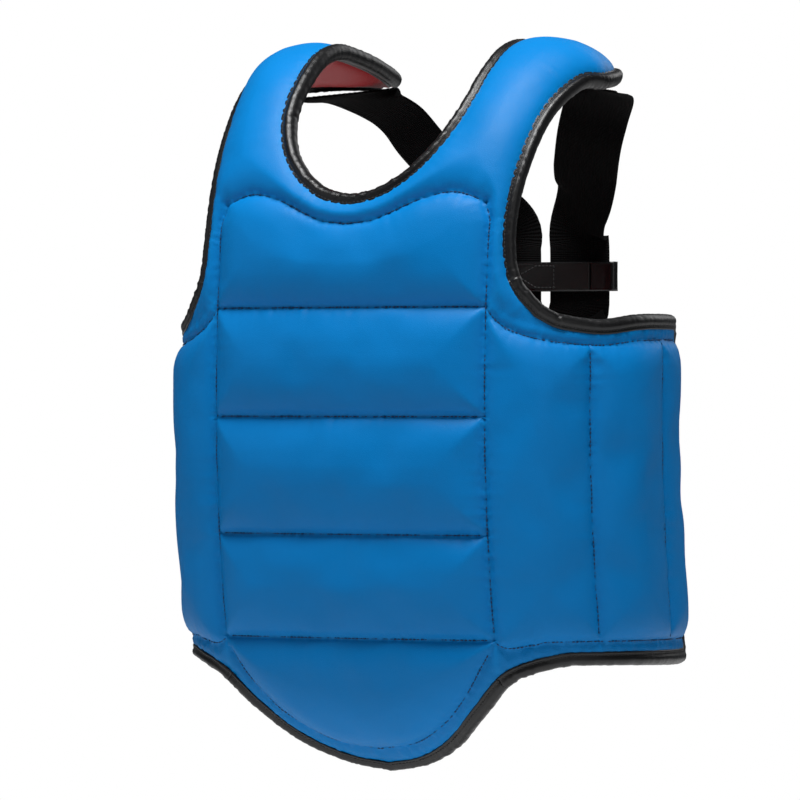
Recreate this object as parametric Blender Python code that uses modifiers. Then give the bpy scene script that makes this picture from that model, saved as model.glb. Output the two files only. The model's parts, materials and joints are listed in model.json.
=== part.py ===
"""Padded chest protector for martial arts and boxing, in metres.

The garment is drawn flat first, in two distances measured along its outer face: `across`, from the
centre line towards the wearer's left, and `along`, from the middle seam upwards. Both follow the
bent face, so the shoulders reach over the crest of the wearer's shoulder at high values of `along`.
Depth runs from the outer face towards the wearer.

+X is the wearer's left, -Y the front and +Z up. The origin is on the wearer's trunk axis at the
height of the middle seam.
"""

import math

import bmesh
import bpy
import numpy as np

# How the outer face bends, as (distance, angle in degrees) pairs joined by arcs.
# LEANS tips the centre line back as it climbs, TURNS wraps the sides round the trunk.
LEANS = (
    (-0.285, -50), (-0.250, -43), (-0.170, -10), (-0.080, -5), (0.0, 0), (0.110, 5),
    (0.170, 22), (0.230, 38), (0.290, 56), (0.350, 98), (0.410, 101), (0.460, 105),
)
TURNS = (
    (0.0, 0), (0.060, 5), (0.110, 14), (0.160, 46), (0.210, 66), (0.260, 89),
    (0.320, 112), (0.400, 132),
)
FRONT_REACH = 0.135  # trunk axis to the outer face at the middle seam
SHOULDER_START = 0.090  # above this height the sides drop with the shoulder's slope
SHOULDER_BLEND = 0.100
ARC_STEP = 0.001

# Layers
QUILT_DEPTH = 0.020  # outer face of a full channel to the wearer's side of the lining
COVER_THICKNESS = 0.0012
LINING_THICKNESS = 0.0012
SEAM_PINCH = 0.006  # how far a stitched seam is drawn in
PUFF_WIDTH = 0.022  # from a seam to the full height of its channel
HEM_TAPER = 0.014  # width over which the lining closes up to an edge
FOAM_CLEARANCE = 0.0022
SEAM_ALLOWANCE = 0.004  # foam stops this far from a stitched line
FOAM_CELL = 0.010
FLAP_PAD_SHARE = 0.93  # width of the flap's foam within the panel, short of its slanting sides
SHOULDER_PAD_ROWS = (
    0.172, 0.190, 0.210, 0.230, 0.250, 0.265, 0.280, 0.295, 0.310, 0.325, 0.340, 0.355, 0.370,
)
PANEL_GAP = 0.0008  # between pieces that meet edge to edge
BINDING_GAP = 0.0022  # between a panel's edge and the band of its binding

# Centre panel: five channels, the lowest of them the abdomen flap
PANEL_HALF_WIDTH = 0.113
MIDDLE_SEAM = -0.0068
UPPER_CHANNEL = 0.0783
LOWER_CHANNEL = 0.0849
LOWEST_CHANNEL = 0.0757
PANEL_TOP = ((0, 0.132), (0.025, 0.136), (0.060, 0.1515), (0.085, 0.1567), (0.108, 0.150))
FLAP_SEAM = ((0, -0.264), (0.030, -0.258), (0.060, -0.238), (0.085, -0.211), (0.108, -0.177))

# Neck opening: half an ellipse below, then the inner edge of each shoulder
NECK_HALF_WIDTH = 0.079
NECK_LOWEST = 0.148
NECK_STRAIGHT_FROM = 0.256
SHOULDER_INNER = ((0.079, 0.256), (0.081, 0.320), (0.081, 0.380), (0.084, 0.415), (0.088, 0.440))

# Armhole edge, from the shoulder's tip down to the wing
SHOULDER_TIP = 0.440
ARMHOLE = (
    (0.090, 0.440), (0.128, 0.395), (0.149, 0.357), (0.154, 0.328), (0.146, 0.298),
    (0.135, 0.250), (0.129, 0.200), (0.125, 0.132), (0.131, 0.090), (0.152, 0.066),
)
WING_TOP = ((0.113, 0.064), (0.150, 0.064), (0.175, 0.057), (0.206, 0.054), (0.241, 0.057))
WING_TOP_HEIGHT = 0.058
WING_END = 0.345
WING_CORNER = 0.016
WING_REAR_CHANNEL = 0.067
WING_SEAMS = (0.1954, WING_END - WING_REAR_CHANNEL)

# Lower edge
HEM = (
    (0, -0.283), (0.030, -0.275), (0.060, -0.255), (0.090, -0.223), (0.120, -0.193),
    (0.160, -0.180), (0.200, -0.178), (0.300, -0.178),
)
BORDER_WIDTH = 0.010  # flat strip between the last stitched line and the binding
WING_BORDER = 0.0140  # the same strip along a wing's top and hem

# Edge binding
BINDING_WIDTH = 0.0065
BINDING_THICKNESS = 0.009

# Back straps, sleeve and hook-and-loop
ELASTIC_WIDTH = 0.050
ELASTIC_THICKNESS = 0.0018
SLEEVE_HEIGHT = 0.022
SLEEVE_WALL = 0.0016
SLEEVE_CLEARANCE = 0.0020
LOOP_LENGTH = 0.070
LOOP_WIDTH = 0.080
LOOP_THICKNESS = 0.0015
HOOK_LENGTH = 0.050
HOOK_THICKNESS = 0.0020
STACK_GAP = 0.0004
STRAP_CLEARANCE = 0.0025  # between an elastic strap and what it lies on
FASTENING_INSET = 0.040  # from the wing's rear end to the centre of its fastening
FASTENING_ACROSS = WING_END - FASTENING_INSET
FASTENING_ALONG = -0.080

COLORS = {
    "outer_leather": ((0.0, 0.16, 0.52, 1), 0.42),
    "lining_leather": ((0.36, 0.004, 0.012, 1), 0.42),
    "binding_leather": ((0.012, 0.012, 0.013, 1), 0.38),
    "sleeve_leather": ((0.010, 0.010, 0.011, 1), 0.22),
    "elastic": ((0.006, 0.006, 0.007, 1), 0.85),
    "foam": ((0.22, 0.22, 0.23, 1), 0.9),
    "hook_and_loop": ((0.010, 0.010, 0.010, 1), 0.95),
}

# Heights of the panel's stitched seams, lowest first
FLAP_HINGE = MIDDLE_SEAM - LOWER_CHANNEL - LOWEST_CHANNEL
PANEL_SEAMS = (
    FLAP_HINGE,
    MIDDLE_SEAM - LOWER_CHANNEL,
    MIDDLE_SEAM,
    MIDDLE_SEAM + UPPER_CHANNEL,
)


def clear_scene():
    for obj in list(bpy.data.objects):
        bpy.data.objects.remove(obj, do_unlink=True)


def arc_run(rates):
    """Running integral of a rate given every ARC_STEP."""
    return np.concatenate([[0.0], np.cumsum((rates[1:] + rates[:-1]) / 2 * ARC_STEP)])


ALONGS = np.arange(-0.320, 0.520, ARC_STEP)
ACROSSES = np.arange(0.0, 0.460, ARC_STEP)
LEAN = np.radians(np.interp(ALONGS, *zip(*LEANS)))
TURN = np.radians(np.interp(ACROSSES, *zip(*TURNS)))
CENTRE_Y = arc_run(np.sin(LEAN))
CENTRE_Y -= np.interp(0.0, ALONGS, CENTRE_Y)
CENTRE_Z = arc_run(np.cos(LEAN))
CENTRE_Z -= np.interp(0.0, ALONGS, CENTRE_Z)
SECTION_X = arc_run(np.cos(TURN))
SECTION_DROP = arc_run(np.sin(TURN))


def face_point(across, along):
    """Point of the outer face, in world axes."""
    x = np.interp(abs(across), ACROSSES, SECTION_X) * (1 if across >= 0 else -1)
    drop = np.interp(abs(across), ACROSSES, SECTION_DROP)
    share = min(max((along - SHOULDER_START) / SHOULDER_BLEND, 0), 1)
    tilt = np.interp(along, ALONGS, LEAN) * share
    y = np.interp(along, ALONGS, CENTRE_Y) + drop * math.cos(tilt) - FRONT_REACH
    z = np.interp(along, ALONGS, CENTRE_Z) - drop * math.sin(tilt)
    return np.array((x, y, z))


def face_normal(across, along):
    """Unit vector out of the outer face."""
    reach = ARC_STEP / 2
    sideways = face_point(across + reach, along) - face_point(across - reach, along)
    upward = face_point(across, along + reach) - face_point(across, along - reach)
    normal = np.cross(sideways, upward)
    return normal / np.linalg.norm(normal)


def layer_point(across, along, depth):
    """Point at a depth under the outer face."""
    return face_point(across, along) - face_normal(across, along) * depth


def smooth_curve(points, steps=8):
    """Catmull-Rom curve through the given points."""
    points = np.array(points, float)
    ends = np.vstack([2 * points[0] - points[1], points, 2 * points[-1] - points[-2]])
    shares = np.linspace(0, 1, steps, endpoint=False)[:, None]
    runs = []
    for before, start, end, after in zip(ends[:-3], ends[1:-2], ends[2:-1], ends[3:]):
        linear = (end - before) * shares
        square = (2 * before - 5 * start + 4 * end - after) * shares**2
        cube = (3 * start - before - 3 * end + after) * shares**3
        runs.append(0.5 * (2 * start + linear + square + cube))
    return np.vstack(runs + [points[-1:]])


def neck_curve():
    """Neck edge from the centre to the shoulder's tip."""
    height = NECK_STRAIGHT_FROM - NECK_LOWEST
    angles = np.linspace(0, math.pi / 2, 17)[:-1]
    lower = np.stack([
        NECK_HALF_WIDTH * np.sin(angles), NECK_STRAIGHT_FROM - height * np.cos(angles)
    ], axis=1)
    return np.vstack([lower, smooth_curve(SHOULDER_INNER, 5)])


def wing_edge_curve():
    """Free edge of a wing: along its top, round its two rear corners and back along its hem."""
    angles = np.linspace(0, math.pi / 2, 6)
    corner_x = WING_END - WING_CORNER + WING_CORNER * np.sin(angles)
    rise = WING_CORNER * np.cos(angles)
    top = smooth_curve(WING_TOP, 5)
    straight = [(x, WING_TOP_HEIGHT) for x in np.linspace(0.255, WING_END - WING_CORNER, 6)[:-1]]
    upper = np.stack([corner_x, WING_TOP_HEIGHT - WING_CORNER + rise], axis=1)
    bottom = hem_height(WING_END)
    lower = np.stack([corner_x, bottom + WING_CORNER - rise], axis=1)[::-1]
    rear = [(WING_END, height) for height in np.linspace(
        WING_TOP_HEIGHT - WING_CORNER, bottom + WING_CORNER, 9)[1:-1]]
    hem = [(x, hem_height(x)) for x in np.linspace(
        WING_END - WING_CORNER, PANEL_HALF_WIDTH + PANEL_GAP, 16)[1:]]
    return np.vstack([top, straight, upper, rear, lower, hem])


NECK_EDGE = neck_curve()
ARMHOLE_EDGE = smooth_curve(ARMHOLE, 6)
HEM_EDGE = smooth_curve(HEM, 6)
TOP_SEAM = smooth_curve(PANEL_TOP, 6)
FLAP_EDGE_SEAM = smooth_curve(FLAP_SEAM, 6)


def hem_height(across):
    return float(np.interp(across, HEM_EDGE[:, 0], HEM_EDGE[:, 1]))


WING_EDGE = wing_edge_curve()
WING_FREE_EDGE = np.array([
    spot for spot in WING_EDGE
    if spot[0] > ARMHOLE[-1][0] + PANEL_GAP or spot[1] < 0
])


def wing_top_height(across):
    upper = WING_EDGE[: int(np.argmax(WING_EDGE[:, 0])) + 1]
    return float(np.interp(across, upper[:, 0], upper[:, 1]))


def wing_bottom_height(across):
    backwards = WING_EDGE[::-1]
    lower = backwards[: int(np.argmax(backwards[:, 0])) + 1]
    return float(np.interp(across, lower[:, 0], lower[:, 1]))


def neck_side(along):
    """Distance of the neck edge from the centre line, and 0 below the neck."""
    if along <= NECK_LOWEST:
        return 0.0
    return float(np.interp(along, NECK_EDGE[:, 1], NECK_EDGE[:, 0]))


def outer_side(along):
    """Distance from the centre line to the armhole or, lower down, to the wing's hinge."""
    if along < ARMHOLE[-1][1]:
        return PANEL_HALF_WIDTH - PANEL_GAP / 2
    rising = ARMHOLE_EDGE[::-1]
    return float(np.interp(along, rising[:, 1], rising[:, 0]))


def distance_to(across, along, line):
    gaps = line - np.array((abs(across), along))
    return float(np.sqrt((gaps**2).sum(axis=1)).min())


def dense(line):
    """The same line with points about 3 mm apart."""
    lengths = np.concatenate([[0], np.cumsum(np.linalg.norm(np.diff(line, axis=0), axis=1))])
    marks = np.linspace(0, lengths[-1], max(int(lengths[-1] / 0.003), 2))
    return np.stack([np.interp(marks, lengths, line[:, i]) for i in (0, 1)], axis=1)


def level_line(height, start, end):
    return dense(np.array(((start, height), (end, height))))


def upright_line(across, bottom, top):
    return dense(np.array(((across, bottom), (across, top))))


EDGES = np.vstack([dense(NECK_EDGE), dense(ARMHOLE_EDGE), dense(WING_FREE_EDGE), dense(HEM_EDGE)])
STITCHED = np.vstack(
    [level_line(height, 0, PANEL_HALF_WIDTH) for height in PANEL_SEAMS]
    + [upright_line(PANEL_HALF_WIDTH, PANEL_SEAMS[0], PANEL_TOP[-1][1])]
    + [upright_line(across, hem_height(across), WING_TOP_HEIGHT) for across in WING_SEAMS]
    + [dense(TOP_SEAM), dense(FLAP_EDGE_SEAM)]
)


def pinch(distance, depth, width):
    return depth * max(1 - distance / width, 0) ** 2


def cover_depth(across, along):
    """Depth of the outer cover, drawn in at every seam and edge."""
    nearest = min(distance_to(across, along, STITCHED), distance_to(across, along, EDGES))
    return pinch(nearest, SEAM_PINCH, PUFF_WIDTH)


def lining_depth(across, along):
    """Depth of the lining's outer side, which closes up towards every edge."""
    taper = pinch(distance_to(across, along, EDGES), SEAM_PINCH, HEM_TAPER)
    return QUILT_DEPTH - LINING_THICKNESS - taper


def material(name):
    found = bpy.data.materials.get(name)
    if found:
        return found
    color, roughness = COLORS[name]
    made = bpy.data.materials.new(name)
    made.use_nodes = True
    shader = made.node_tree.nodes["Principled BSDF"]
    shader.inputs["Base Color"].default_value = color
    shader.inputs["Roughness"].default_value = roughness
    return made


def add_object(name, bm, finish, origin=(0, 0, 0), closed=True):
    """Names the mesh, gives it its material and moves its origin, with the shape left in place."""
    bmesh.ops.recalc_face_normals(bm, faces=bm.faces)
    if closed and bm.calc_volume(signed=True) < 0:
        bmesh.ops.reverse_faces(bm, faces=bm.faces)
    bmesh.ops.translate(bm, verts=bm.verts, vec=[-value for value in origin])
    mesh = bpy.data.meshes.new(name)
    bm.to_mesh(mesh)
    bm.free()
    mesh.materials.append(material(finish))
    obj = bpy.data.objects.new(name, mesh)
    obj.location = origin
    PARTS.objects.link(obj)
    return obj


def grid(columns, rows):
    """Flat grid from 0 to 1 each way, with its normal along +Z."""
    bm = bmesh.new()
    bmesh.ops.create_grid(bm, x_segments=columns, y_segments=rows, size=0.5)
    bmesh.ops.translate(bm, verts=bm.verts, vec=(0.5, 0.5, 0))
    return bm


def shell(name, columns, rows, place, depth, thickness, finish, side=0, origin=(0, 0, 0)):
    """Thin skin at a depth under the face. With side 0 it is mirrored across the centre line."""
    bm = grid(columns, rows)
    for vert in bm.verts:
        across, along = place(vert.co.x, vert.co.y)
        vert.co = layer_point(across, along, depth(across, along))
        if side < 0:
            vert.co.x = -vert.co.x
    if side < 0:
        bmesh.ops.reverse_faces(bm, faces=bm.faces)
    bmesh.ops.translate(bm, verts=bm.verts, vec=[-value for value in origin])
    mesh = bpy.data.meshes.new(name)
    bm.to_mesh(mesh)
    bm.free()
    mesh.materials.append(material(finish))
    obj = bpy.data.objects.new(name, mesh)
    obj.location = origin
    PARTS.objects.link(obj)
    if side == 0:
        mirror = obj.modifiers.new("Mirror", "MIRROR")
        mirror.merge_threshold = 0.0001
    wall = obj.modifiers.new("Solidify", "SOLIDIFY")
    wall.thickness = thickness
    wall.offset = -1
    return obj


def slab(name, columns, rows, place, outer, inner, finish, side=1, origin=(0, 0, 0)):
    """Closed piece between two depths, which may change over the piece."""
    bm = grid(columns, rows)
    made = bmesh.ops.extrude_face_region(bm, geom=bm.faces[:])["geom"]
    copies = [item for item in made if isinstance(item, bmesh.types.BMVert)]
    flat = {(round(vert.co.x, 5), round(vert.co.y, 5)): vert for vert in copies}
    for vert in list(bm.verts):
        if vert in copies:
            continue
        twin = flat[(round(vert.co.x, 5), round(vert.co.y, 5))]
        across, along = place(vert.co.x, vert.co.y)
        for each, depth in ((twin, outer(across, along)), (vert, inner(across, along))):
            each.co = layer_point(across, along, depth)
            if side < 0:
                each.co.x = -each.co.x
    return add_object(name, bm, finish, origin)


def level(value):
    return lambda across, along: value


def spread(marks, share):
    """Value at a share of the way through evenly counted marks."""
    return float(np.interp(share * (len(marks) - 1), range(len(marks)), marks))


def channel_marks(bottom, top):
    """Heights of the grid's rows through one channel, closer together at its seams."""
    return [bottom + (top - bottom) * share for share in (0, 0.1, 0.3, 0.7, 0.9)]


def front_rows():
    marks = [FLAP_HINGE + PANEL_GAP / 2]
    marks += channel_marks(*PANEL_SEAMS[0:2])[1:]
    marks += channel_marks(*PANEL_SEAMS[1:3]) + channel_marks(*PANEL_SEAMS[2:4])[:-1]
    marks += [ARMHOLE[-1][1] - PANEL_GAP / 2, ARMHOLE[-1][1] + 0.0002, PANEL_SEAMS[3]]
    marks += [0.078, 0.090, 0.105, 0.120, 0.132, 0.141]
    marks += [NECK_LOWEST, 0.1492, 0.152, 0.157, 0.164, 0.173, 0.184, 0.196, 0.210, 0.226]
    marks += list(np.arange(0.242, SHOULDER_TIP - 0.010, 0.0145)) + [SHOULDER_TIP - 0.006]
    return sorted(marks)


FRONT_ROWS = front_rows()
LINING_ROWS = list(np.linspace(FRONT_ROWS[0], 0.040, 4)) + [
    mark for mark in FRONT_ROWS if mark > 0.050
]
FRONT_COLUMNS = (0, 0.16, 0.33, 0.5, 0.66, 0.8, 0.91, 1)


def front_place(a, b):
    along = spread(FRONT_ROWS, b)
    inner, outer = neck_side(along), outer_side(along)
    return inner + (outer - inner) * spread(FRONT_COLUMNS, a), along


def lining_place(a, b):
    along = spread(LINING_ROWS, b)
    inner, outer = neck_side(along), outer_side(along)
    return inner + (outer - inner) * spread((0, 0.14, 0.5, 0.86, 1), a), along


def flap_place(a, b):
    across = (PANEL_HALF_WIDTH - PANEL_GAP / 2) * spread(FRONT_COLUMNS, a)
    bottom, top = hem_height(across), FLAP_HINGE - PANEL_GAP / 2
    return across, bottom + (top - bottom) * b


def wing_columns():
    marks = []
    starts = (PANEL_HALF_WIDTH + PANEL_GAP / 2,) + WING_SEAMS
    for start, end in zip(starts, WING_SEAMS + (WING_END,)):
        marks += [start + (end - start) * share for share in (0, 0.1, 0.25, 0.42, 0.58, 0.75, 0.9)]
    return marks + [WING_END]


WING_COLUMNS = wing_columns()
WING_ROWS = (0, 0.04, 0.1, 0.3, 0.7, 0.9, 0.96, 1)


def wing_place(a, b):
    across = spread(WING_COLUMNS, a)
    bottom, top = wing_bottom_height(across), wing_top_height(across)
    return across, bottom + (top - bottom) * spread(WING_ROWS, b)


def foam_outer(across, along):
    return cover_depth(across, along) + COVER_THICKNESS + FOAM_CLEARANCE


def foam_inner(across, along):
    return lining_depth(across, along) - FOAM_CLEARANCE


def foam_pad(name, left, right, bottom, top, columns, rows, side=1, origin=(0, 0, 0)):
    """Foam block in one channel. Its bottom and top may be curves of the distance across."""
    def place(a, b):
        across = left + (right - left) * a
        low, high = bottom(across) + SEAM_ALLOWANCE, top(across) - SEAM_ALLOWANCE
        return across, low + (high - low) * b
    return slab(name, columns, rows, place, foam_outer, foam_inner, "foam", side, origin)


def build_chest_pads():
    half = PANEL_HALF_WIDTH - SEAM_ALLOWANCE
    tops = list(PANEL_SEAMS[1:]) + [None]
    for number, (bottom, top) in enumerate(zip(PANEL_SEAMS, tops)):
        def lower(across, height=bottom):
            return height

        def upper(across, height=top):
            if height is None:
                return float(np.interp(abs(across), TOP_SEAM[:, 0], TOP_SEAM[:, 1]))
            return height
        foam_pad(f"chest_pad_{4 - number}", -half, half, lower, upper, 12, 5)


def build_abdomen_pad(origin):
    half = (PANEL_HALF_WIDTH - SEAM_ALLOWANCE * 2) * FLAP_PAD_SHARE

    def lower(across):
        return float(np.interp(abs(across), FLAP_EDGE_SEAM[:, 0], FLAP_EDGE_SEAM[:, 1]))

    def upper(across):
        return FLAP_HINGE
    foam_pad("abdomen_pad", -half, half, lower, upper, 12, 5, origin=origin)


def build_shoulder_pad(side, suffix):
    """Foam from the collar over the shoulder's crest."""
    def place(a, b):
        along = spread(SHOULDER_PAD_ROWS, b)
        inner = neck_side(along) + SEAM_ALLOWANCE * 2
        outer = outer_side(along) - BORDER_WIDTH
        return inner + (outer - inner) * a, along
    slab(f"shoulder_pad_{suffix}", 4, len(SHOULDER_PAD_ROWS) - 1, place, foam_outer, foam_inner, "foam", side)


def build_wing_pads(side, suffix, origin):
    starts = (PANEL_HALF_WIDTH,) + WING_SEAMS
    ends = WING_SEAMS + (WING_END - BORDER_WIDTH,)

    def lower(across):
        return max(hem_height(across) + WING_BORDER, FLAP_HINGE)

    def upper(across):
        return wing_top_height(across) - WING_BORDER
    for number, (start, end) in enumerate(zip(starts, ends), 1):
        columns = round((end - start) / FOAM_CELL)
        foam_pad(
            f"wing_pad_{suffix}_{number}", start + SEAM_ALLOWANCE, end - SEAM_ALLOWANCE,
            lower, upper, columns, 4, side, origin,
        )


def binding(name, edge, side=1, origin=(0, 0, 0), outward=1, square=()):
    """Leather strip folded over an edge, drawn as a flat band just outside it.

    The ends listed in `square` are cut upright, where the band meets the next one.
    """
    edge = np.array(edge)
    ways = np.gradient(edge, axis=0)
    ways /= np.linalg.norm(ways, axis=1, keepdims=True)
    normals = np.stack([ways[:, 1], -ways[:, 0]], axis=1) * outward
    for end in square:
        normals[end] = (0, -1)
    middle = QUILT_DEPTH / 2
    count = len(edge) - 1

    def place(a, b):
        index = a * count
        spot = [np.interp(index, range(count + 1), edge[:, i]) for i in (0, 1)]
        away = [np.interp(index, range(count + 1), normals[:, i]) for i in (0, 1)]
        reach = BINDING_GAP + BINDING_WIDTH * b
        return spot[0] + away[0] * reach, spot[1] + away[1] * reach
    half = BINDING_THICKNESS / 2
    slab(name, count, 1, place, level(middle - half), level(middle + half), "binding_leather",
         side, origin)


def both_sides(edge):
    """A half edge that starts on the centre line, continued on the other side."""
    other = edge[1:][::-1] * np.array((-1, 1))
    return np.vstack([other, edge])


def ribbon(name, path, facing, width, thickness, finish, origin=(0, 0, 0)):
    """Flat strap along a path of points, with its outer face towards `facing`."""
    path, facing = np.array(path), np.array(facing)
    ways = np.gradient(path, axis=0)
    sides = np.cross(ways, facing)
    sides /= np.linalg.norm(sides, axis=1, keepdims=True)
    count = len(path) - 1
    bm = grid(count, 1)
    for vert in bm.verts:
        index = round(vert.co.x * count)
        vert.co = path[index] + sides[index] * width * (vert.co.y - 0.5)
    mesh = bpy.data.meshes.new(name)
    bmesh.ops.translate(bm, verts=bm.verts, vec=[-value for value in origin])
    bm.to_mesh(mesh)
    bm.free()
    mesh.materials.append(material(finish))
    obj = bpy.data.objects.new(name, mesh)
    obj.location = origin
    PARTS.objects.link(obj)
    wall = obj.modifiers.new("Solidify", "SOLIDIFY")
    wall.thickness = thickness
    wall.offset = 0
    return obj


# The left strap's middle line between the shoulder's tip and the wing's rear edge
STRAP_ROUTE = (
    (0.083, 0.103, 0.216), (0.069, 0.118, 0.193), (0.050, 0.146, 0.162), (0.034, 0.172, 0.137),
    (0.029, 0.179, 0.118), (0.029, 0.180, 0.097), (0.029, 0.179, 0.076), (0.038, 0.168, 0.050),
    (0.070, 0.145, 0.018), (0.103, 0.116, -0.022), (0.126, 0.090, -0.050),
)
SLEEVE_STOP = 5  # the point of the route that the sleeve is centred on
STRAPS_APART = 0.008  # between the two straps where they lie side by side
SHOULDER_SPOTS = ((0.103, 0.396), (0.099, 0.413), (0.094, 0.430))
STRAP_FACINGS = ((0.25, 0.2, 1), (0.1, 0.6, 0.8), (0, 1, 0), (0, 1, 0), (0.88, 0.47, 0))
FACING_MARKS = (0, 0.22, 0.34, 0.62, 0.86)  # shares of the strap's points


def strap_path(side):
    inside = QUILT_DEPTH + LOOP_THICKNESS + HOOK_THICKNESS + 2 * STACK_GAP
    inside += STRAP_CLEARANCE + ELASTIC_THICKNESS / 2
    under = QUILT_DEPTH + STRAP_CLEARANCE + ELASTIC_THICKNESS / 2
    fastening = (
        (FASTENING_ACROSS + 0.028, FASTENING_ALONG + 0.006),
        (FASTENING_ACROSS, FASTENING_ALONG),
        (FASTENING_ACROSS - HOOK_LENGTH / 2, FASTENING_ALONG - 0.003),
    )
    points = [tuple(layer_point(*spot, under)) for spot in SHOULDER_SPOTS]
    aside = (ELASTIC_WIDTH + STRAPS_APART) / 2 - STRAP_ROUTE[SLEEVE_STOP][0]
    points += [(x + aside, y, z) for x, y, z in STRAP_ROUTE]
    points += [tuple(layer_point(*spot, inside)) for spot in fastening]
    path = smooth_curve(points, 3)
    shares = np.linspace(0, 1, len(path))
    facing = np.stack([
        np.interp(shares, FACING_MARKS, [way[axis] for way in STRAP_FACINGS]) for axis in range(3)
    ], axis=1)
    return path * np.array((side, 1, 1)), facing * np.array((side, 1, 1))


def build_sleeve():
    """Folded leather sleeve that holds the two straps side by side."""
    centre = np.array(STRAP_ROUTE[SLEEVE_STOP])
    half = ELASTIC_WIDTH + STRAPS_APART / 2 + SLEEVE_CLEARANCE
    gap = ELASTIC_THICKNESS / 2 + SLEEVE_CLEARANCE
    angles = np.linspace(-math.pi / 2, math.pi / 2, 7)
    turn = [(half + gap * math.cos(angle), gap * math.sin(angle)) for angle in angles]
    loop = turn + [(-x, y) for x, y in reversed(turn)]
    bm = bmesh.new()
    corners = [
        bm.verts.new((x, centre[1] + y, centre[2] - SLEEVE_HEIGHT / 2)) for x, y in loop
    ]
    edges = [bm.edges.new((a, b)) for a, b in zip(corners, corners[1:] + corners[:1])]
    made = bmesh.ops.extrude_edge_only(bm, edges=edges)["geom"]
    raised = [item for item in made if isinstance(item, bmesh.types.BMVert)]
    bmesh.ops.translate(bm, verts=raised, vec=(0, 0, SLEEVE_HEIGHT))
    obj = add_object("keeper_sleeve", bm, "sleeve_leather", tuple(centre * (0, 1, 1)), False)
    wall = obj.modifiers.new("Solidify", "SOLIDIFY")
    wall.thickness = SLEEVE_WALL
    wall.offset = 1
    wall.use_even_offset = True


def fastening_place(length, width):
    """Patch on the wing, centred on the fastening."""
    def place(a, b):
        return FASTENING_ACROSS + length * (a - 0.5), FASTENING_ALONG + width * (b - 0.5)
    return place


def build_wing(side, suffix, hinge):
    columns, rows = len(WING_COLUMNS) - 1, len(WING_ROWS) - 1
    shell(f"wing_cover_{suffix}", columns, rows, wing_place, cover_depth, COVER_THICKNESS,
          "outer_leather", side, hinge)
    shell(f"wing_lining_{suffix}", columns, rows, wing_place, lining_depth, LINING_THICKNESS,
          "lining_leather", side, hinge)
    build_wing_pads(side, suffix, hinge)
    binding(f"wing_binding_{suffix}", WING_FREE_EDGE, side, hinge, -1, square=(-1,))
    loop = QUILT_DEPTH + STACK_GAP
    slab(f"loop_patch_{suffix}", 7, 1, fastening_place(LOOP_LENGTH, LOOP_WIDTH), level(loop),
         level(loop + LOOP_THICKNESS), "hook_and_loop", side, hinge)


def build_hook_tab(side, suffix):
    """Hook tab on the end of a strap. It peels away about its rear edge."""
    outer = QUILT_DEPTH + LOOP_THICKNESS + 2 * STACK_GAP
    pivot = layer_point(FASTENING_ACROSS + HOOK_LENGTH / 2, FASTENING_ALONG, outer)
    pivot = tuple(pivot * (side, 1, 1))
    slab(f"hook_tab_{suffix}", 5, 1, fastening_place(HOOK_LENGTH, ELASTIC_WIDTH), level(outer),
         level(outer + HOOK_THICKNESS), "hook_and_loop", side, pivot)


clear_scene()
PARTS = bpy.data.collections.new("chest_protector")
bpy.context.scene.collection.children.link(PARTS)

shell("front_cover", len(FRONT_COLUMNS) - 1, len(FRONT_ROWS) - 1, front_place, cover_depth,
      COVER_THICKNESS, "outer_leather")
shell("front_lining", 4, len(LINING_ROWS) - 1, lining_place, lining_depth,
      LINING_THICKNESS, "lining_leather")
build_chest_pads()
binding("neck_binding", both_sides(NECK_EDGE[:-1]), outward=-1)

flap_pivot = tuple(layer_point(0, FLAP_HINGE, 0) * (0, 1, 1))
shell("flap_cover", len(FRONT_COLUMNS) - 1, 10, flap_place, cover_depth, COVER_THICKNESS,
      "outer_leather", origin=flap_pivot)
shell("flap_lining", 5, 8, flap_place, lining_depth, LINING_THICKNESS, "lining_leather",
      origin=flap_pivot)
build_abdomen_pad(flap_pivot)
flap_hem = [(x, hem_height(x)) for x in np.linspace(0, PANEL_HALF_WIDTH - PANEL_GAP / 2, 14)]
binding("flap_binding", both_sides(np.array(flap_hem)), origin=flap_pivot, square=(0, -1))

for side, suffix in ((1, "left"), (-1, "right")):
    wing_pivot = tuple(layer_point(PANEL_HALF_WIDTH, 0, 0) * (side, 1, 1))
    build_shoulder_pad(side, suffix)
    binding(f"armhole_binding_{suffix}", ARMHOLE_EDGE[1:], side=side, outward=-1)
    build_wing(side, suffix, wing_pivot)
    build_hook_tab(side, suffix)
    route, outward_ways = strap_path(side)
    ribbon(f"back_elastic_{suffix}", route, outward_ways, ELASTIC_WIDTH, ELASTIC_THICKNESS,
           "elastic")
build_sleeve()
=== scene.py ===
import json
import math

import bmesh
import bpy
import numpy as np
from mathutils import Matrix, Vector, geometry, noise


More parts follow.
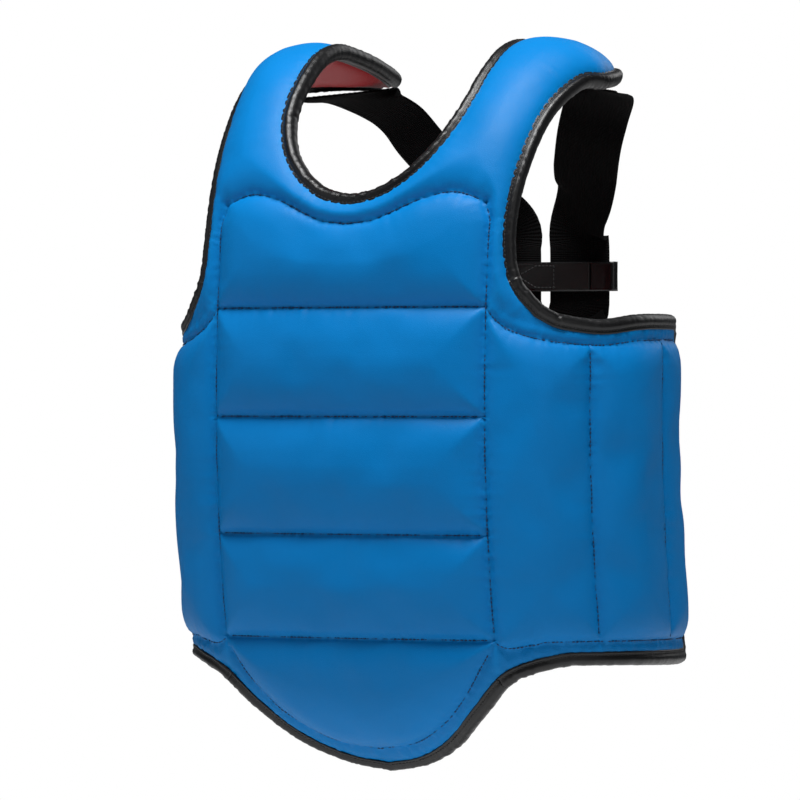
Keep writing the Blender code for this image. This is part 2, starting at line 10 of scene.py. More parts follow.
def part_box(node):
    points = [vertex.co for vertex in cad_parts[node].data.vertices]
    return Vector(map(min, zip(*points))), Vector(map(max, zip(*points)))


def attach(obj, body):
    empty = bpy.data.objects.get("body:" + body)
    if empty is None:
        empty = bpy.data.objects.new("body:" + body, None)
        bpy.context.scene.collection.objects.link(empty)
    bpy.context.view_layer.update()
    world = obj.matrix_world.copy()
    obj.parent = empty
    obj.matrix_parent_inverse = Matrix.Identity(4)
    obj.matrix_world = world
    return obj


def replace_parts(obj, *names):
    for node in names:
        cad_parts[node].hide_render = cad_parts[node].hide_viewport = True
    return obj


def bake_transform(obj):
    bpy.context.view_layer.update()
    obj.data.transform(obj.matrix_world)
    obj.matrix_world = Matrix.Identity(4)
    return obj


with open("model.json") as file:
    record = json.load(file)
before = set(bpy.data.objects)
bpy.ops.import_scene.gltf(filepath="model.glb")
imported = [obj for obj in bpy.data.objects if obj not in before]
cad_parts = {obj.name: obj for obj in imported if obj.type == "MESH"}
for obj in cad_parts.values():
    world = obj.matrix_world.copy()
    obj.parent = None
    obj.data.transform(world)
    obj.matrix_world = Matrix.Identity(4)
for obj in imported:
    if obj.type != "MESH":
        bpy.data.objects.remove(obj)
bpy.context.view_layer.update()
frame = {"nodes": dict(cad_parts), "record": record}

# ------------------------
# Outer cover of the centre panel and shoulders: blue synthetic leather over foam slabs, stitched
# through to the lining along every channel. It is drawn flat first, as distances across and
# along, and then bent to the wearer's front.

LEANS = (  # distance along the centre line, and how far it leans back there, in degrees
    (-0.285, -50), (-0.250, -43), (-0.170, -10), (-0.080, -5), (0.0, 0), (0.110, 5),
    (0.170, 22), (0.230, 38), (0.290, 56), (0.350, 98), (0.410, 101), (0.460, 105),
)
TURNS = (  # distance across, and how far the guard has turned round the body there, in degrees
    (0.0, 0), (0.060, 5), (0.110, 14), (0.160, 46), (0.210, 66), (0.260, 89),
    (0.320, 112), (0.400, 132),
)
FRONT_REACH = 0.135
SHOULDER_START = 0.090
SHOULDER_BLEND = 0.100
ARC_STEP = 0.001


def arc_run(rates):
    """Running integral of a rate given every ARC_STEP."""
    return np.concatenate([[0.0], np.cumsum((rates[1:] + rates[:-1]) / 2 * ARC_STEP)])


ALONGS = np.arange(-0.320, 0.520, ARC_STEP)
ACROSSES = np.arange(0.0, 0.460, ARC_STEP)
LEAN = np.radians(np.interp(ALONGS, *zip(*LEANS)))
TURN = np.radians(np.interp(ACROSSES, *zip(*TURNS)))
CENTRE_Y = arc_run(np.sin(LEAN))
CENTRE_Y -= np.interp(0.0, ALONGS, CENTRE_Y)
CENTRE_Z = arc_run(np.cos(LEAN))
CENTRE_Z -= np.interp(0.0, ALONGS, CENTRE_Z)
SECTION_X = arc_run(np.cos(TURN))
SECTION_DROP = arc_run(np.sin(TURN))


def face_points(spots):
    """Points of the guard's outer face for an array of (across, along) spots."""
    across, along = spots[:, 0], spots[:, 1]
    x = np.interp(np.abs(across), ACROSSES, SECTION_X) * np.sign(across)
    drop = np.interp(np.abs(across), ACROSSES, SECTION_DROP)
    share = np.clip((along - SHOULDER_START) / SHOULDER_BLEND, 0, 1)
    tilt = np.interp(along, ALONGS, LEAN) * share
    y = np.interp(along, ALONGS, CENTRE_Y) + drop * np.cos(tilt) - FRONT_REACH
    z = np.interp(along, ALONGS, CENTRE_Z) - drop * np.sin(tilt)
    return np.stack([x, y, z], axis=1)


def unit(vectors):
    return vectors / np.linalg.norm(vectors, axis=-1, keepdims=True)


def face_normals(spots, reach=0.0015):
    """Unit vectors out of the outer face."""
    right, up = np.array((reach, 0)), np.array((0, reach))
    sideways = face_points(spots + right) - face_points(spots - right)
    upward = face_points(spots + up) - face_points(spots - up)
    return unit(np.cross(sideways, upward))


def layer_points(spots, depths):
    """Points at given depths under the outer face."""
    spots = np.asarray(spots, float)
    return face_points(spots) - face_normals(spots) * np.reshape(depths, (-1, 1))


def smooth_curve(points, steps=8):
    """Catmull-Rom curve through the given points."""
    points = np.array(points, float)
    ends = np.vstack([2 * points[0] - points[1], points, 2 * points[-1] - points[-2]])
    shares = np.linspace(0, 1, steps, endpoint=False)[:, None]
    runs = []
    for before, start, end, after in zip(ends[:-3], ends[1:-2], ends[2:-1], ends[3:]):
        linear = (end - before) * shares
        square = (2 * before - 5 * start + 4 * end - after) * shares**2
        cube = (3 * start - before - 3 * end + after) * shares**3
        runs.append(0.5 * (2 * start + linear + square + cube))
    return np.vstack(runs + [points[-1:]])


def run_lengths(line):
    """Distance along a line to each of its points."""
    return np.concatenate([[0], np.cumsum(np.linalg.norm(np.diff(line, axis=0), axis=1))])


def spaced(line, spacing):
    """The same line with its points a set distance apart."""
    line = np.array(line, float)
    lengths = run_lengths(line)
    marks = np.linspace(0, lengths[-1], max(int(round(lengths[-1] / spacing)), 1) + 1)
    return np.stack([np.interp(marks, lengths, line[:, i]) for i in range(line.shape[1])], axis=1)


PANEL_HALF = 0.113
PANEL_SEAMS = (-0.1674, -0.0917, -0.0068, 0.0715)
PANEL_TOP = ((0, 0.132), (0.025, 0.136), (0.060, 0.1515), (0.085, 0.1567), (0.108, 0.150))
FLAP_SEAM = ((0, -0.264), (0.030, -0.258), (0.060, -0.238), (0.085, -0.211), (0.108, -0.177))
NECK_HALF, NECK_LOWEST, NECK_STRAIGHT_FROM = 0.079, 0.148, 0.256
SHOULDER_INNER = ((0.079, 0.256), (0.081, 0.320), (0.081, 0.380), (0.084, 0.415), (0.088, 0.440))
ARMHOLE = (
    (0.090, 0.440), (0.128, 0.395), (0.149, 0.357), (0.154, 0.328), (0.146, 0.298),
    (0.135, 0.250), (0.129, 0.200), (0.125, 0.132), (0.131, 0.090), (0.152, 0.066),
)
WING_TOP = (
    (0.152, 0.066), (0.163, 0.0605), (0.175, 0.057), (0.206, 0.054), (0.241, 0.057), (0.262, 0.058),
)
WING_TOP_HEIGHT = 0.058
WING_END = 0.345
WING_CORNER = 0.016
CORNER_GAP = 0.004
WING_UPRIGHTS = ((0.1954, 0.0060, 0.020), (0.278, 0.0042, 0.016))
WING_TOP_SEAM = (
    (0.113, 0.0715), (0.119, 0.0635), (0.130, 0.0555), (0.150, 0.0490), (0.175, 0.0455),
    (0.206, 0.0440), (0.241, 0.0470), (0.280, 0.0480), (0.335, 0.0480),
)
WING_HEM_SEAM = (
    (0.113, -0.1690), (0.124, -0.1730), (0.145, -0.1700), (0.170, -0.1680), (0.335, -0.1680),
)
WING_REAR_SEAM = 0.335
HEM = (
    (0, -0.283), (0.030, -0.275), (0.060, -0.255), (0.090, -0.223), (0.120, -0.193),
    (0.160, -0.180), (0.200, -0.178), (0.300, -0.178), (0.345, -0.178),
)
CUT_LOW, CUT_HIGH = (0.113, 0.0715), (0.1307, 0.0905)  # where front and wing meet at the armhole
CLOTH_SPACING = 0.0050
MIRROR = np.array((-1, 1))
WINGS = ((1, "left"), (-1, "right"))

neck_turn = np.linspace(0, math.pi / 2, 17)[:-1]
neck_round = np.stack([
    NECK_HALF * np.sin(neck_turn),
    NECK_STRAIGHT_FROM - (NECK_STRAIGHT_FROM - NECK_LOWEST) * np.cos(neck_turn),
], axis=1)
neck_edge = np.vstack([neck_round, smooth_curve(SHOULDER_INNER, 5)])
armhole_edge = smooth_curve(ARMHOLE, 8)
hem_edge = smooth_curve(HEM, 8)
panel_top = smooth_curve(PANEL_TOP, 6)
flap_seam = np.vstack([smooth_curve(FLAP_SEAM, 6), [(PANEL_HALF, PANEL_SEAMS[0])]])
wing_top_seam, wing_hem_seam = smooth_curve(WING_TOP_SEAM, 6), smooth_curve(WING_HEM_SEAM, 6)


def height_of(line, across):
    """Height of a pattern line at a distance across."""
    return np.interp(np.abs(across), line[:, 0], line[:, 1])


def both_halves(line):
    """A line that starts on the centre, with its mirror image before it."""
    line = np.array(line, float)
    return np.vstack([line[::-1] * MIRROR, line[1:]])


def upright(across, low, high):
    """A line straight up the pattern."""
    return np.array(((across, low), (across, high)), float)


corner_turn = np.linspace(0, math.pi / 2, 8)
corner_x = WING_END - WING_CORNER + WING_CORNER * np.sin(corner_turn)
corner_rise = WING_CORNER * (1 - np.cos(corner_turn))
wing_top_edge = np.vstack([
    smooth_curve(WING_TOP, 5), np.stack([corner_x, WING_TOP_HEIGHT - corner_rise], axis=1)])
wing_low_edge = np.vstack([
    np.stack([corner_x, float(height_of(hem_edge, WING_END)) + corner_rise], axis=1)[::-1],
    [(x, float(height_of(hem_edge, x)))
     for x in np.linspace(corner_x[0] - CORNER_GAP, PANEL_HALF, 60)],
])
wing_edge = np.vstack([wing_top_edge, wing_low_edge])
flap_hem = np.array([(x, float(height_of(hem_edge, x))) for x in np.linspace(0, PANEL_HALF, 40)])
half_outline = np.vstack([neck_edge, armhole_edge, wing_edge[1:], flap_hem[::-1][1:]])
garment_outline = np.vstack([half_outline, (half_outline[1:-1] * MIRROR)[::-1]])


class Seams:
    """Lines that draw the leather in. Each has the depth it is pulled to and the width over which
    the foam rises beside it."""

    def __init__(self):
        self.spots, self.depths, self.widths, self.marks, self.lines = [], [], [], [], {}

    def add(self, part, line, depth, width):
        """`part` is the piece whose stitching the line belongs to, or None for a bound edge."""
        line = spaced(line, SEAM_STEP)
        self.marks.append(run_lengths(line) + 10 * len(self.spots))
        self.spots.append(line)
        self.depths.append(np.full(len(line), depth))
        self.widths.append(np.full(len(line), width))
        self.lines.setdefault(part, []).append(line)

    def nearest(self, spots):
        """Depth drawn in at each spot, and the distance and the place of the closest line."""
        lines, depths = np.vstack(self.spots), np.concatenate(self.depths)
        widths, marks = np.concatenate(self.widths), np.concatenate(self.marks)
        drawn, gap, place = [], [], []
        for few in np.array_split(spots, max(len(spots) // 400, 1)):
            apart = np.hypot(few[:, :1] - lines[:, 0], few[:, 1:] - lines[:, 1])
            share = np.clip(1 - apart / widths, 0, 1)
            drawn.append((depths * (1 - np.sqrt(1 - share**2))).max(axis=1))
            gap.append(apart.min(axis=1))
            place.append(marks[apart.argmin(axis=1)])
        return np.concatenate(drawn), np.concatenate(gap), np.concatenate(place)


SEAM_STEP = 0.0015
PANEL_PULL, PANEL_WIDTH = 0.0085, 0.026
EDGE_PULL, EDGE_WIDTH = 0.0070, 0.026
PUCKER, PUCKER_REACH, PUCKER_START = 0.0014, 0.0085, 0.0025
FOLD_LENGTH, FINE_FOLD_LENGTH = 0.0042, 0.0018
PATCH_SIZE = 0.045
CROWN, CROWN_REACH = 0.0024, 0.036
WANDER, WANDER_SIZE, WANDER_START = 0.0009, 0.038, 0.012
BORDER_DEPTH, BORDER_SWELL = 0.0066, 0.0016
BORDER_PUCKER, BORDER_PUCKER_START = 0.0007, 0.002
BORDER_TOP, BORDER_FADE, BORDER_RISE = 0.0955, 0.045, 0.010

SEAMS = Seams()
for height in PANEL_SEAMS:
    SEAMS.add("front", [(-PANEL_HALF, height), (PANEL_HALF, height)], PANEL_PULL, PANEL_WIDTH)
SEAMS.add("front", both_halves(panel_top), PANEL_PULL * 0.8, PANEL_WIDTH * 0.8)
SEAMS.add("flap", both_halves(flap_seam[:-1]), PANEL_PULL * 0.85, PANEL_WIDTH * 0.85)
SEAMS.add(None, both_halves(neck_edge), EDGE_PULL, EDGE_WIDTH)
for way, part in WINGS:
    panel_side = np.vstack([upright(PANEL_HALF, PANEL_SEAMS[0], 0.135), [(0.108, 0.150)]])
    SEAMS.add("front", panel_side * (way, 1), PANEL_PULL, PANEL_WIDTH)
    SEAMS.add(None, armhole_edge * (way, 1), EDGE_PULL, EDGE_WIDTH)
    SEAMS.add(None, hem_edge * (way, 1), EDGE_PULL, EDGE_WIDTH * 0.5)
    for line in (wing_top_seam, wing_hem_seam):
        SEAMS.add(part, line * (way, 1), EDGE_PULL, EDGE_WIDTH * 0.85)
    rear = upright(way * WING_REAR_SEAM, wing_hem_seam[-1][1], wing_top_seam[-1][1])
    SEAMS.add(part, rear, EDGE_PULL, EDGE_WIDTH * 0.85)
    for across, pull, width in WING_UPRIGHTS:
        low, high = (float(height_of(line, across)) for line in (wing_hem_seam, wing_top_seam))
        SEAMS.add(part, upright(way * across, low, high), pull, width)


def roughly(spots, size, seed):
    """Smooth noise over the pattern, from -1 to 1."""
    return np.array([noise.noise(Vector((a / size, b / size, seed))) for a, b in spots])


def flat_border(spots):
    """How much of each spot lies on the flat border outside the channels, and its depth there."""
    across, along = np.abs(spots[:, 0]), spots[:, 1]
    hem = height_of(hem_edge, across)
    wing = across > PANEL_HALF
    seam = np.where(wing, height_of(wing_hem_seam, across), height_of(flap_seam, across))
    low = np.clip((seam - along) / (seam - hem), 0, 1)
    top = np.clip((along - height_of(wing_top_seam, across)) / BORDER_RISE, 0, 1)
    rear = np.clip((across - WING_REAR_SEAM) / BORDER_RISE, 0, 1)
    fade = np.clip((BORDER_TOP - along) / BORDER_FADE, 0, 1)
    fade = np.where(top > 0, fade * fade * (3 - 2 * fade), 1)
    below = along < BORDER_TOP
    share = np.where(low > 0, low, np.where(wing & below, np.maximum(top, rear), 0))
    depth = BORDER_DEPTH - BORDER_SWELL * np.sin(math.pi * share)
    return np.where((share > 0) & below, fade, 0), depth


def quilt(spots, seed):
    """Depth of the stitched cover: full over the foam, round into each seam, puckered beside it."""
    drawn, gap, place = SEAMS.nearest(spots)
    ripple = np.array([
        noise.noise(Vector((mark / FOLD_LENGTH, seed, 0.3)))
        + 0.6 * noise.noise(Vector((mark / FINE_FOLD_LENGTH, seed, 7.1))) for mark in place
    ])
    near = np.exp(-gap / PUCKER_REACH) * np.clip(gap / PUCKER_START, 0, 1)
    patchy = np.clip(0.35 + roughly(spots, PATCH_SIZE, seed) * 1.4, 0, 1)
    depth = drawn - CROWN * np.clip(gap / CROWN_REACH, 0, 1) ** 0.8
    depth += PUCKER * ripple * near * patchy
    depth += WANDER * roughly(spots, WANDER_SIZE, seed + 3) * np.clip(gap / WANDER_START, 0, 1)
    share, flat = flat_border(spots)
    border = flat + BORDER_PUCKER * ripple * np.clip(gap / BORDER_PUCKER_START, 0, 1)
    return depth + (border - depth) * share


def spaced_loop(outline, spacing):
    """Closed outline with even spacing that keeps its corners."""
    outline = np.array(outline, float)
    ways = np.roll(outline, -1, axis=0) - outline
    ways /= np.maximum(np.linalg.norm(ways, axis=1, keepdims=True), 1e-9)
    turns = (ways * np.roll(ways, 1, axis=0)).sum(axis=1)
    corners = [int(i) for i in np.flatnonzero(turns < 0.75)]
    rolled = np.roll(outline, -corners[0], axis=0)
    stops = [i - corners[0] for i in corners] + [len(outline)]
    rolled = np.vstack([rolled, rolled[:1]])
    return np.vstack([
        spaced(rolled[start:end + 1], spacing)[:-1] for start, end in zip(stops, stops[1:])
    ])


ROW_PITCH = 0.866  # between rows of even triangles, as a share of their side
CLEAR_SHARE = 0.62  # least distance from a line to a point beside it, as the same share


def cut_pattern(outline, inner_lines):
    """Triangles that fill an outline, with an edge along every inner line."""
    outline = spaced_loop(outline, CLOTH_SPACING)
    points = [tuple(spot) for spot in outline]
    edges = []
    for line in inner_lines:
        line = spaced(line, CLOTH_SPACING)
        start = len(points)
        points += [tuple(spot) for spot in line]
        edges += [(start + i, start + i + 1) for i in range(len(line) - 1)]
    fixed = np.array(points)
    low, high = outline.min(axis=0), outline.max(axis=0)
    fill = []
    for i, height in enumerate(np.arange(low[1], high[1], CLOTH_SPACING * ROW_PITCH)):
        row = np.arange(low[0] + (i % 2) * CLOTH_SPACING / 2, high[0], CLOTH_SPACING)
        fill.append(np.stack([row, np.full(len(row), height)], axis=1))
    fill = np.vstack(fill)
    clear = np.concatenate([
        np.linalg.norm(few[:, None] - fixed[None], axis=2).min(axis=1) > CLOTH_SPACING * CLEAR_SHARE
        for few in np.array_split(fill, max(len(fill) // 500, 1))
    ])
    points += [tuple(spot) for spot in fill[clear]]
    made = geometry.delaunay_2d_cdt(
        [Vector(p) for p in points], edges, [list(range(len(outline)))], 1, 1e-6)
    spots = np.array([tuple(v) for v in made[0]])
    faces = np.array([face for face in made[2] if len(face) == 3])
    a, b, c = (spots[faces[:, i]] for i in range(3))
    area = (b[:, 0] - a[:, 0]) * (c[:, 1] - a[:, 1]) - (b[:, 1] - a[:, 1]) * (c[:, 0] - a[:, 0])
    faces = np.where(area[:, None] < 0, faces[:, ::-1], faces)[np.abs(area) > 1e-10]
    used = np.unique(faces)
    order = np.full(len(spots), -1)
    order[used] = np.arange(len(used))
    return spots[used], order[faces]


def sides_of(faces):
    """The three sides of every triangle."""
    return np.vstack([faces[:, [0, 1]], faces[:, [1, 2]], faces[:, [2, 0]]])


def halved(spots, faces, moves):
    """Each triangle cut in four."""
    pairs, index = np.unique(np.sort(sides_of(faces), axis=1), axis=0, return_inverse=True)
    index = index.reshape(3, -1) + len(spots)
    spots = np.vstack([spots, spots[pairs].mean(axis=1)])
    moves = np.vstack([moves, moves[pairs].mean(axis=1)])
    a, b, c = faces.T
    ab, bc, ca = index
    return spots, np.vstack([
        np.stack(corner, axis=1) for corner in ((a, ab, ca), (b, bc, ab), (c, ca, bc), (ab, bc, ca))
    ]), moves


def open_edges(faces):
    """The sides that only one triangle has."""
    sides = sides_of(faces)
    _, index, count = np.unique(
        np.sort(sides, axis=1), axis=0, return_index=True, return_counts=True)
    return sides[index[count == 1]]


def placed(name, data):
    """New object in the scene."""
    obj = bpy.data.objects.new(name, data)
    bpy.context.scene.collection.objects.link(obj)
    return obj


SWELL_FRAMES = 14
SWELL_CAP = 0.0035
SWELL_SMOOTHING = 5
CLOTH = dict(
    vertex_group_mass="stitched", quality=4, mass=0.25, tension_stiffness=12,
    compression_stiffness=12, shear_stiffness=4, bending_stiffness=8.0, use_pressure=True,
    uniform_pressure_force=4, shrink_min=-0.006)


def swollen(points, back, faces, held):
    """Cloth simulation: air pressure swells a cover that its seams hold down."""
    count = len(points)
    rim = open_edges(faces)
    walls = [(b, a, a + count, b + count) for a, b in rim]
    mesh = bpy.data.meshes.new("swell")
    mesh.from_pydata(
        np.vstack([points, back]).tolist(), [],
        faces.tolist() + (faces[:, ::-1] + count).tolist() + walls)
    pad = placed("swell", mesh)
    group = pad.vertex_groups.new(name="stitched")
    group.add(np.flatnonzero(held).tolist() + list(range(count, 2 * count)), 1.0, "REPLACE")
    cloth = pad.modifiers.new("Cloth", "CLOTH")
    for key, value in CLOTH.items():
        setattr(cloth.settings, key, value)
    cloth.settings.effector_weights.gravity = 0
    cloth.collision_settings.use_self_collision = False
    cloth.collision_settings.use_collision = False
    cloth.point_cache.frame_start = 1
    cloth.point_cache.frame_end = SWELL_FRAMES
    for step in range(1, SWELL_FRAMES + 1):
        bpy.context.scene.frame_set(step)
    shaped = pad.evaluated_get(bpy.context.evaluated_depsgraph_get()).to_mesh()
    moved = np.empty(len(shaped.vertices) * 3, np.float32)
    shaped.vertices.foreach_get("co", moved)
    bpy.data.objects.remove(pad)
    bpy.context.scene.frame_set(1)
    moves = moved.reshape(-1, 3)[:count] - points
    size = np.linalg.norm(moves, axis=1, keepdims=True)
    moves *= np.minimum(1, SWELL_CAP / np.maximum(size, 1e-9))
    sides = sides_of(faces)
    sides = np.vstack([sides, sides[:, ::-1]])
    shares = np.bincount(sides[:, 0], minlength=count)[:, None]
    for _ in range(SWELL_SMOOTHING):
        total = np.zeros_like(moves)
        np.add.at(total, sides[:, 0], moves[sides[:, 1]])
        moves = np.where(held[:, None], moves, 0.5 * moves + 0.5 * total / shares)
    return moves


def garment_pattern():
    """The whole guard laid flat, with an edge along every stitched line and every bend."""
    inner = [line for part, lines in SEAMS.lines.items() if part for line in lines]
    for way in (1, -1):
        hem_corner = float(height_of(hem_edge, PANEL_HALF))
        inner.append(upright(way * PANEL_HALF, hem_corner, PANEL_SEAMS[0]))
        inner.append(np.array((CUT_LOW, CUT_HIGH)) * (way, 1))
    return cut_pattern(garment_outline, inner)


PATTERN = garment_pattern()
HELD_REACH = 0.0012
BACKING_DEPTH = 0.012


def sewn_layer(seed, base=0.0, inward=1, swell=True):
    """One layer of the whole guard, as (spots, points, faces, normals). `base` is its depth over
    full foam. `inward` is 1 for the cover and -1 for the lining, which swells the other way."""
    spots, faces = PATTERN
    moves = np.zeros((len(spots), 3))
    if swell:
        start = layer_points(spots, base + inward * quilt(spots, seed))
        held = (SEAMS.nearest(spots)[1] < HELD_REACH) | (flat_border(spots)[0] > 0.5)
        back = layer_points(spots, np.full(len(spots), BACKING_DEPTH))
        moves = swollen(start, back, faces[:, ::inward], held)
    spots, faces, moves = halved(spots, faces, moves)
    points = layer_points(spots, base + inward * quilt(spots, seed)) + moves
    faces = faces[:, ::inward]
    a, b, c = (points[faces[:, i]] for i in range(3))
    normals = np.zeros_like(points)
    for i in range(3):
        np.add.at(normals, faces[:, i], np.cross(b - a, c - a))
    return spots, points, faces, unit(normals)


def cut_height(across):
    """Below this line the leather beside the panel belongs to a wing."""
    return np.interp(np.abs(across), *zip(CUT_LOW, CUT_HIGH))


def on_flap(spots):
    return (np.abs(spots[:, 0]) < PANEL_HALF) & (spots[:, 1] < PANEL_SEAMS[0])


def on_wing(way):
    def chosen(spots):
        return (way * spots[:, 0] > PANEL_HALF) & (spots[:, 1] < cut_height(spots[:, 0]))
    return chosen


def on_front(spots):
    return ~(on_flap(spots) | on_wing(1)(spots) | on_wing(-1)(spots))


def leather_piece(name, layer, chosen, thickness):
    """The part of a layer that one piece covers, with its leather's thickness behind it. Its
    shading runs on from its neighbours', so a cut between two pieces doesn't show."""
    spots, points, faces, normals = layer
    mine = faces[chosen(spots[faces].mean(axis=1))]
    used, index = np.unique(mine, return_inverse=True)
    mine, count = index.reshape(-1, 3), len(used)
    outer, ways = points[used], normals[used]
    inner = outer - ways * thickness
    rim = open_edges(mine)
    walls = np.array([(b, a, a + count, b + count) for a, b in rim])
    every = np.vstack([outer, inner])
    mesh = bpy.data.meshes.new(name)
    mesh.from_pydata(
        every.tolist(), [], mine.tolist() + (mine[:, ::-1] + count).tolist() + walls.tolist())
    mesh.shade_smooth()
    at, along, _, across = (every[walls[:, i]] for i in range(4))
    facing = np.cross(along - at, across - at)
    facing /= np.maximum(np.linalg.norm(facing, axis=1, keepdims=True), 1e-12)
    corners = np.vstack([
        ways[mine].reshape(-1, 3), -ways[mine[:, ::-1]].reshape(-1, 3),
        np.repeat(facing, 4, axis=0)])
    mesh.normals_split_custom_set(corners.tolist())
    return placed(name, mesh)


def node_group(name, inputs, outputs):
    """New shader node group, with its input and output nodes."""
    group = bpy.data.node_groups.new(name, "ShaderNodeTree")
    for socket, value in inputs:
        made = group.interface.new_socket(socket, in_out="INPUT", socket_type="NodeSocketFloat")
        made.default_value = value
    for socket, kind in outputs:
        group.interface.new_socket(socket, in_out="OUTPUT", socket_type=kind)
    return group, group.nodes.new("NodeGroupInput"), group.nodes.new("NodeGroupOutput")


def feed(node, **values):
    """Links or sets some of a node's inputs. An underscore stands for a space, and one before a
    number gives an input by its place."""
    for key, value in values.items():
        place = int(key[1:]) if key[1:].isdigit() else key.replace("_", " ")
        socket = node.inputs[place]
        if isinstance(value, bpy.types.NodeSocket):
            node.id_data.links.new(value, socket)
        else:
            socket.default_value = value
    return node


def joined(tree, kind, operation=None, **values):
    """New node with some of its inputs linked or set."""
    node = tree.nodes.new(kind)
    if operation:
        node.operation = operation
    return feed(node, **values)


def leather_grain_group():
    """Fine pebbled grain of coated leather, with long soft creases and a patchy sheen."""
    group, start, end = node_group(
        "leather_grain", [("Pebble Size", 0.0011), ("Crease", 0.35)],
        [("Height", "NodeSocketFloat"), ("Patch", "NodeSocketFloat")])
    place = group.nodes.new("ShaderNodeTexCoord").outputs["Object"]
    inverse = joined(group, "ShaderNodeMath", "DIVIDE", _0=1.0, _1=start.outputs["Pebble Size"])
    warp = joined(group, "ShaderNodeTexNoise", Vector=place, Scale=260.0, Detail=2.0)
    shift = joined(group, "ShaderNodeVectorMath", "SCALE", _0=warp.outputs["Color"], Scale=0.0006)
    moved = joined(group, "ShaderNodeVectorMath", "ADD", _0=place, _1=shift.outputs[0])
    cells = joined(group, "ShaderNodeTexVoronoi", Vector=moved.outputs[0], Scale=inverse.outputs[0])
    cells.feature = "DISTANCE_TO_EDGE"
    pebble = joined(group, "ShaderNodeMath", "MINIMUM", _0=cells.outputs["Distance"], _1=0.28)
    crease = joined(
        group, "ShaderNodeTexNoise", Vector=place, Scale=95.0, Detail=3.0, Roughness=0.6)
    soft = joined(
        group, "ShaderNodeMath", "MULTIPLY", _0=crease.outputs["Fac"], _1=start.outputs["Crease"])
    height = joined(group, "ShaderNodeMath", "ADD", _0=pebble.outputs[0], _1=soft.outputs[0])
    patch = joined(group, "ShaderNodeTexNoise", Vector=place, Scale=14.0, Detail=3.0)
    feed(end, Height=height.outputs[0], Patch=patch.outputs["Fac"])
    return group


def edge_wear_group():
    """Mask of the raised folds, where handling rubs the finish a little lighter."""
    group, start, end = node_group(
        "edge_wear", [("Sharpness", 9.0)], [("Mask", "NodeSocketFloat")])
    bend = group.nodes.new("ShaderNodeNewGeometry").outputs["Pointiness"]
    raised = joined(group, "ShaderNodeMath", "SUBTRACT", _0=bend, _1=0.52)
    sharp = joined(group, "ShaderNodeMath", "MULTIPLY", _0=raised.outputs[0],
                   _1=start.outputs["Sharpness"])
    speck = joined(group, "ShaderNodeTexNoise", Scale=120.0)
    rubbed = joined(group, "ShaderNodeMath", "MULTIPLY", _0=sharp.outputs[0],
                    _1=speck.outputs["Fac"])
    rubbed.use_clamp = True
    feed(end, Mask=rubbed.outputs[0])
    return group


LEATHER_GRAIN = leather_grain_group()
EDGE_WEAR = edge_wear_group()


def new_material(name):
    """New material, with its nodes and its shader."""
    made = bpy.data.materials.new(name)
    made.use_nodes = True
    return made, made.node_tree, made.node_tree.nodes["Principled BSDF"]


def color_mix(tree, factor, low, high):
    """Colour between two others, each given as a colour or as a socket."""
    node = tree.nodes.new("ShaderNodeMix")
    node.data_type = "RGBA"
    tree.links.new(factor, node.inputs["Factor"])
    for key, value in (("A", low), ("B", high)):
        if isinstance(value, bpy.types.NodeSocket):
            tree.links.new(value, node.inputs[key])
        else:
            node.inputs[key].default_value = (*value, 1)
    return node.outputs["Result"]


def leather(name, color, worn, roughness, pebble, bump, shine, coat=0.0):
    """Coated leather: its colour wanders slightly, its folds are worn and its grain is raised."""
    made, tree, shader = new_material(name)
    grain, wear = (tree.nodes.new("ShaderNodeGroup") for _ in range(2))
    grain.node_tree, wear.node_tree = LEATHER_GRAIN, EDGE_WEAR
    feed(grain, Pebble_Size=pebble)
    darker, lighter = ([value * share for value in color] for share in (0.90, 1.10))
    shade = color_mix(tree, grain.outputs["Patch"], darker, lighter)
    rubbed = color_mix(tree, wear.outputs["Mask"], shade, worn)
    gloss = joined(tree, "ShaderNodeMapRange", Value=grain.outputs["Patch"], From_Min=0.3,
                   From_Max=0.7, To_Min=roughness - 0.04, To_Max=roughness + 0.05)
    raised = joined(tree, "ShaderNodeBump", Height=grain.outputs["Height"], Strength=1.0,
                    Distance=bump)
    feed(shader, Base_Color=rubbed, Roughness=gloss.outputs["Result"],
         Normal=raised.outputs["Normal"], Specular_IOR_Level=shine, Coat_Weight=coat,
         Coat_Roughness=0.25)
    return made


def coated(obj, material):
    """Gives the object one material."""
    obj.data.materials.clear()
    obj.data.materials.append(material)


def dressed(obj, material):
    """The object with one material."""
    coated(obj, material)
    return obj


COVER_THICKNESS = 0.0012
blue_leather = leather(
    "blue_leather", (0.0, 0.185, 0.520), (0.0, 0.24, 0.62), roughness=0.42, pebble=0.0010,
    bump=0.00020, shine=0.14)

outer_layer = sewn_layer(1.7)
front_cover = leather_piece("front_leather", outer_layer, on_front, COVER_THICKNESS)
dressed(front_cover, blue_leather)
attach(front_cover, "front")
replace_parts(front_cover, "front_cover")

# ------------------------
# Cover of the abdomen flap: the same blue leather, a rounded shield of foam below the lowest
# panel seam, with a flat stitched border round it.


def bends_with_flap(obj):
    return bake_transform(obj)


flap_cover = leather_piece("flap_leather", outer_layer, on_flap, COVER_THICKNESS)
dressed(flap_cover, blue_leather)
bends_with_flap(flap_cover)
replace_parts(flap_cover, "flap_cover")

# ------------------------
# Wing covers: three upright channels of the same leather with a flat border along the armhole,
# the rear end and the hem.


def bends_with_wing(obj):
    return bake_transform(obj)


for way, suffix in WINGS:
    cover = leather_piece(f"wing_leather_{suffix}", outer_layer, on_wing(way), COVER_THICKNESS)
    dressed(cover, blue_leather)
    bends_with_wing(cover)
    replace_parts(cover, f"wing_cover_{suffix}")

# ------------------------
# Linings: red coated leather on the wearer's side, cut to the same patterns and held by the same
# stitching, so its channels swell inward.

